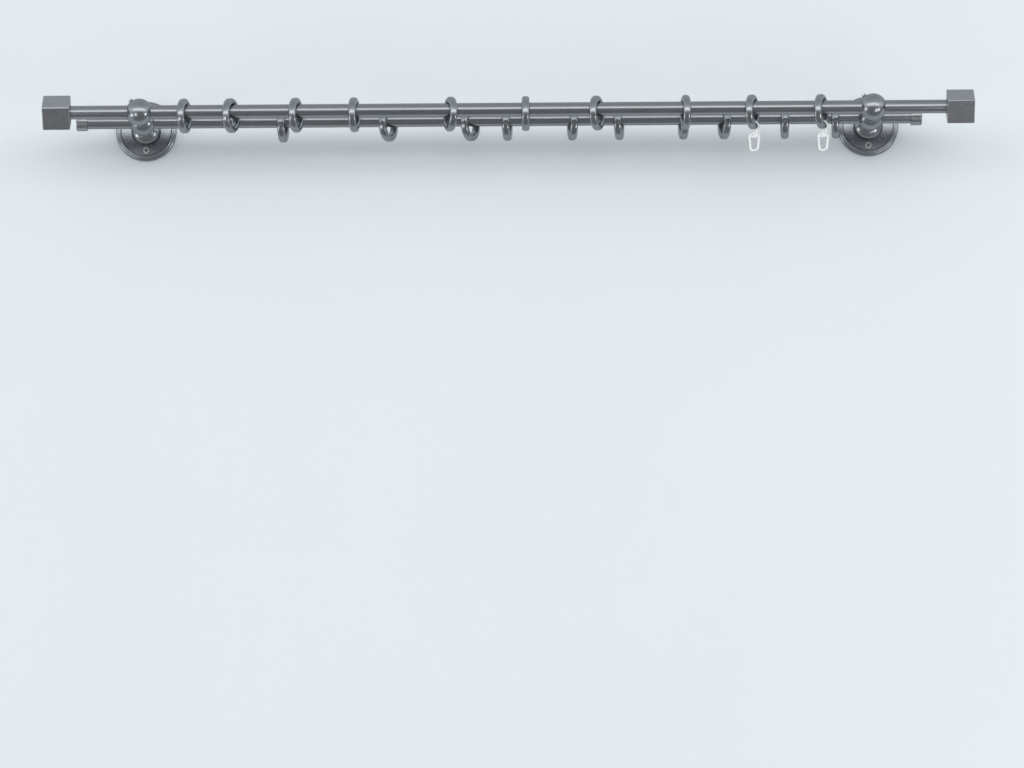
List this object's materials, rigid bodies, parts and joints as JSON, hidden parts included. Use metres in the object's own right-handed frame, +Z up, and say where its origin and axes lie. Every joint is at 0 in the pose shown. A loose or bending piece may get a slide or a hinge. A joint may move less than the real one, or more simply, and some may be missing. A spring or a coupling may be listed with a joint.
{
  "type": "double curtain rod",
  "caption": "Wall-mounted double curtain rod: two parallel metal tubes on ball brackets, cube finials in front, end caps behind, sliding rings and clip hooks.",
  "frame": {"origin": "on the wall, midway between the two rosettes and level with their centres", "axes": "+X right along the tubes, +Y into the wall, +Z up"},
  "size_m": [1.092, 0.1806, 0.0875],
  "materials": {
    "tube_lacquer": "satin pewter-grey lacquer on steel tube",
    "finial_lacquer": "satin pewter-grey lacquer",
    "cast_lacquer": "glossy pewter-grey lacquer on cast metal",
    "ring_lacquer": "glossy pewter-grey lacquered plastic",
    "brass": "machined brass",
    "screw_steel": "zinc-plated steel",
    "white_plastic": "white moulded plastic"
  },
  "bodies": {
    "frame": {"front_rod": "tube_lacquer", "rear_rod": "tube_lacquer", "left_finial": "finial_lacquer", "right_finial": "finial_lacquer", "left_end_cap": "finial_lacquer", "left_rosette": "cast_lacquer", "left_arm": "cast_lacquer", "left_arm_bolt": "screw_steel", "left_front_set_screw": "brass", "left_rear_set_screw": "brass", "left_upper_wall_screw": "screw_steel", "left_lower_wall_screw": "screw_steel", "right_end_cap": "finial_lacquer", "right_rosette": "cast_lacquer", "right_arm": "cast_lacquer", "right_arm_bolt": "screw_steel", "right_front_set_screw": "brass", "right_rear_set_screw": "brass", "right_upper_wall_screw": "screw_steel", "right_lower_wall_screw": "screw_steel"},
    "front_ring_01": {"front_ring_01": "ring_lacquer"},
    "front_ring_02": {"front_ring_02": "ring_lacquer"},
    "front_ring_03": {"front_ring_03": "ring_lacquer"},
    "front_ring_04": {"front_ring_04": "ring_lacquer"},
    "front_ring_05": {"front_ring_05": "ring_lacquer"},
    "front_ring_06": {"front_ring_06": "ring_lacquer"},
    "front_ring_07": {"front_ring_07": "ring_lacquer"},
    "front_ring_08": {"front_ring_08": "ring_lacquer"},
    "front_ring_09": {"front_ring_09": "ring_lacquer"},
    "front_ring_10": {"front_ring_10": "ring_lacquer"},
    "rear_ring_01": {"rear_ring_01": "ring_lacquer"},
    "rear_ring_02": {"rear_ring_02": "ring_lacquer"},
    "rear_ring_03": {"rear_ring_03": "ring_lacquer"},
    "rear_ring_04": {"rear_ring_04": "ring_lacquer"},
    "rear_ring_05": {"rear_ring_05": "ring_lacquer"},
    "rear_ring_06": {"rear_ring_06": "ring_lacquer"},
    "rear_ring_07": {"rear_ring_07": "ring_lacquer"},
    "rear_ring_08": {"rear_ring_08": "ring_lacquer"},
    "rear_ring_09": {"rear_ring_09": "ring_lacquer"},
    "rear_ring_10": {"rear_ring_10": "ring_lacquer"},
    "left_clip_hook": {"left_clip_hook": "white_plastic"},
    "right_clip_hook": {"right_clip_hook": "white_plastic"}
  },
  "joints": [
    {"name": "front_ring_01_slide", "type": "slide", "parent": "frame", "child": "front_ring_01", "axis": [1, 0, 0], "range_m": [-0.0278, 0.0213]},
    {"name": "front_ring_02_slide", "type": "slide", "parent": "frame", "child": "front_ring_02", "axis": [1, 0, 0], "range_m": [-0.0213, 0.0323]},
    {"name": "front_ring_03_slide", "type": "slide", "parent": "frame", "child": "front_ring_03", "axis": [1, 0, 0], "range_m": [-0.0323, 0.0283]},
    {"name": "front_ring_04_slide", "type": "slide", "parent": "frame", "child": "front_ring_04", "axis": [1, 0, 0], "range_m": [-0.0283, 0.0476]},
    {"name": "front_ring_05_slide", "type": "slide", "parent": "frame", "child": "front_ring_05", "axis": [1, 0, 0], "range_m": [-0.0476, 0.0368]},
    {"name": "front_ring_06_slide", "type": "slide", "parent": "frame", "child": "front_ring_06", "axis": [1, 0, 0], "range_m": [-0.0368, 0.034]},
    {"name": "front_ring_07_slide", "type": "slide", "parent": "frame", "child": "front_ring_07", "axis": [1, 0, 0], "range_m": [-0.034, 0.0431]},
    {"name": "front_ring_08_slide", "type": "slide", "parent": "frame", "child": "front_ring_08", "axis": [1, 0, 0], "range_m": [-0.0431, 0.0246]},
    {"name": "front_ring_09_slide", "type": "slide", "parent": "frame", "child": "front_ring_09", "axis": [1, 0, 0], "range_m": [-0.0246, 0.0229]},
    {"name": "front_ring_10_slide", "type": "slide", "parent": "frame", "child": "front_ring_10", "axis": [1, 0, 0], "range_m": [-0.0229, 0.0342]},
    {"name": "rear_ring_01_slide", "type": "slide", "parent": "frame", "child": "rear_ring_01", "axis": [1, 0, 0], "range_m": [-0.1425, 0.0545]},
    {"name": "rear_ring_02_slide", "type": "slide", "parent": "frame", "child": "rear_ring_02", "axis": [1, 0, 0], "range_m": [-0.0545, 0.0432]},
    {"name": "rear_ring_03_slide", "type": "slide", "parent": "frame", "child": "rear_ring_03", "axis": [1, 0, 0], "range_m": [-0.0432, 0.0138]},
    {"name": "rear_ring_04_slide", "type": "slide", "parent": "frame", "child": "rear_ring_04", "axis": [1, 0, 0], "range_m": [-0.0138, 0.0315]},
    {"name": "rear_ring_05_slide", "type": "slide", "parent": "frame", "child": "rear_ring_05", "axis": [1, 0, 0], "range_m": [-0.0315, 0.0204]},
    {"name": "rear_ring_06_slide", "type": "slide", "parent": "frame", "child": "rear_ring_06", "axis": [1, 0, 0], "range_m": [-0.0204, 0.031]},
    {"name": "rear_ring_07_slide", "type": "slide", "parent": "frame", "child": "rear_ring_07", "axis": [1, 0, 0], "range_m": [-0.031, 0.0185]},
    {"name": "rear_ring_08_slide", "type": "slide", "parent": "frame", "child": "rear_ring_08", "axis": [1, 0, 0], "range_m": [-0.0185, 0.0289]},
    {"name": "rear_ring_09_slide", "type": "slide", "parent": "frame", "child": "rear_ring_09", "axis": [1, 0, 0], "range_m": [-0.0289, 0.0248]},
    {"name": "rear_ring_10_slide", "type": "slide", "parent": "frame", "child": "rear_ring_10", "axis": [1, 0, 0], "range_m": [-0.0248, 0.0199]},
    {"name": "left_clip_hook_swing", "type": "hinge", "parent": "front_ring_09", "child": "left_clip_hook", "pos_m": [0.28976, -0.12161, -0.02183], "axis": [0.2554, 0.9668, 0], "range_deg": [-40, 40]},
    {"name": "right_clip_hook_swing", "type": "hinge", "parent": "front_ring_10", "child": "right_clip_hook", "pos_m": [0.37068, -0.12163, -0.02183], "axis": [0.2756, 0.9613, 0], "range_deg": [-40, 40]}
  ]
}
